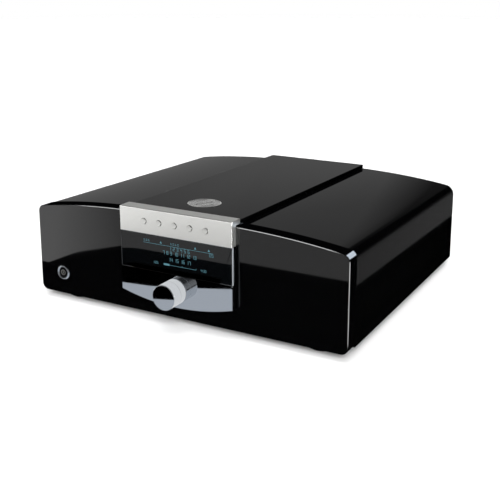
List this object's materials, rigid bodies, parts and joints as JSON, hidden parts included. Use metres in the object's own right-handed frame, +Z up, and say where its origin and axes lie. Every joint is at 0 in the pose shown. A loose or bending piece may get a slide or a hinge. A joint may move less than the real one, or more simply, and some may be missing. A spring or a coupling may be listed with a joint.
{
  "type": "cd player",
  "caption": "Full-width slot-loading disc player with a crowned gloss case, a raised centre strip, a metal fascia with display, buttons and a turning knob, on feet.",
  "frame": {"origin": "centre of the overall box, at the height of the surface that the feet stand on", "axes": "+X to the right seen from the front, along the width; +Y from the front to the rear; +Z up"},
  "size_m": [0.45, 0.445, 0.148],
  "materials": {
    "black_lacquer": "high gloss piano lacquer",
    "anodised_black": "fine satin black anodised",
    "satin_aluminium": "satin bead blasted and clear anodised",
    "chrome": "mirror polished",
    "smoked_glass": "smoked, polished",
    "zinc_steel": "zinc plated sheet and turned steel",
    "black_plastic": "moulded, fine matte",
    "circuit_board": "solder mask over glass fibre",
    "rubber": "matte",
    "white_acetal": "moulded acetal",
    "wound_copper": "taped copper winding"
  },
  "bodies": {
    "case": {"front_panel": "black_lacquer", "case_shell": "black_lacquer", "base_tray": "anodised_black", "rear_panel": "anodised_black", "foot_front_left": "black_lacquer", "foot_front_right": "black_lacquer", "foot_rear_left": "black_lacquer", "foot_rear_right": "black_lacquer", "top_strip_cover": "black_lacquer", "top_emblem": "satin_aluminium", "fascia_frame": "anodised_black", "fascia_rail": "satin_aluminium", "display_glass": "smoked_glass", "chrome_plate": "chrome", "display_module": "smoked_glass", "control_board": "circuit_board", "encoder_body": "anodised_black", "power_button_ring": "chrome", "power_switch": "black_plastic", "drive_chassis": "zinc_steel", "drive_cover": "zinc_steel", "loading_motor": "zinc_steel", "spindle_motor": "zinc_steel", "guide_rod_left": "zinc_steel", "guide_rod_right": "zinc_steel", "sled_motor": "zinc_steel", "main_board": "circuit_board", "power_board": "circuit_board", "toroidal_transformer": "wound_copper", "transformer_bolt": "zinc_steel", "capacitor_left": "black_plastic", "capacitor_right": "black_plastic", "heat_sink": "anodised_black", "analogue_socket_left": "zinc_steel", "analogue_socket_right": "zinc_steel", "digital_socket": "zinc_steel", "balanced_socket_left": "zinc_steel", "balanced_socket_right": "zinc_steel", "network_socket": "zinc_steel", "mains_inlet": "black_plastic"},
    "knob": {"knob": "chrome", "encoder_shaft": "zinc_steel"},
    "power_button": {"power_button": "anodised_black"},
    "mains_rocker": {"mains_rocker": "black_plastic"},
    "loading_roller": {"loading_roller": "rubber", "roller_gear": "white_acetal"},
    "loading_pinion": {"loading_pinion": "white_acetal"},
    "turntable": {"turntable": "black_plastic"},
    "disc_clamp": {"disc_clamp": "black_plastic"},
    "pickup_sled": {"pickup_sled": "black_plastic", "pickup_lens": "smoked_glass"},
    "lead_screw": {"lead_screw": "zinc_steel"},
    "previous_button": {"previous_button": "satin_aluminium"},
    "stop_button": {"stop_button": "satin_aluminium"},
    "play_button": {"play_button": "satin_aluminium"},
    "pause_button": {"pause_button": "satin_aluminium"},
    "next_button": {"next_button": "satin_aluminium"}
  },
  "joints": [
    {"name": "knob_turn", "type": "hinge", "parent": "case", "child": "knob", "pos_m": [0, -0.1966, 0.0488], "axis": [0, 1, 0], "continuous": true},
    {"name": "previous_press", "type": "slide", "parent": "case", "child": "previous_button", "axis": [0, 1, 0], "range_m": [0, 0.0008], "stiffness_N_per_m": 900, "springref_m": -0.0006},
    {"name": "stop_press", "type": "slide", "parent": "case", "child": "stop_button", "axis": [0, 1, 0], "range_m": [0, 0.0008], "stiffness_N_per_m": 900, "springref_m": -0.0006},
    {"name": "play_press", "type": "slide", "parent": "case", "child": "play_button", "axis": [0, 1, 0], "range_m": [0, 0.0008], "stiffness_N_per_m": 900, "springref_m": -0.0006},
    {"name": "pause_press", "type": "slide", "parent": "case", "child": "pause_button", "axis": [0, 1, 0], "range_m": [0, 0.0008], "stiffness_N_per_m": 900, "springref_m": -0.0006},
    {"name": "next_press", "type": "slide", "parent": "case", "child": "next_button", "axis": [0, 1, 0], "range_m": [0, 0.0008], "stiffness_N_per_m": 900, "springref_m": -0.0006},
    {"name": "power_press", "type": "slide", "parent": "case", "child": "power_button", "axis": [0, 1, 0], "range_m": [0, 0.0015], "stiffness_N_per_m": 900, "springref_m": -0.0006},
    {"name": "mains_rocker_tilt", "type": "hinge", "parent": "case", "child": "mains_rocker", "pos_m": [-0.129, 0.2122, 0.062], "axis": [1, 0, 0], "range_deg": [0, 12]},
    {"name": "roller_turn", "type": "hinge", "parent": "case", "child": "loading_roller", "pos_m": [0, -0.1545, 0.0658], "axis": [1, 0, 0], "continuous": true},
    {"name": "pinion_turn", "type": "hinge", "parent": "case", "child": "loading_pinion", "pos_m": [0, -0.14602, 0.05731], "axis": [1, 0, 0], "continuous": true},
    {"name": "spindle_turn", "type": "hinge", "parent": "case", "child": "turntable", "pos_m": [0, -0.09, 0.012], "axis": [0, 0, 1], "continuous": true},
    {"name": "clamp_lower", "type": "slide", "parent": "case", "child": "disc_clamp", "axis": [0, 0, -1], "range_m": [0, 0.0022]},
    {"name": "sled_slide", "type": "slide", "parent": "case", "child": "pickup_sled", "axis": [0, 1, 0], "range_m": [0, 0.034]},
    {"name": "lead_screw_turn", "type": "hinge", "parent": "case", "child": "lead_screw", "pos_m": [0.027, -0.187, 0.0555], "axis": [0, 1, 0], "range_deg": [0, 4081]}
  ],
  "couplings": [
    {"joint": "pinion_turn", "follows": "roller_turn", "ratio": -1.4},
    {"joint": "lead_screw_turn", "follows": "sled_slide", "rad_per_m": 2094.4}
  ]
}
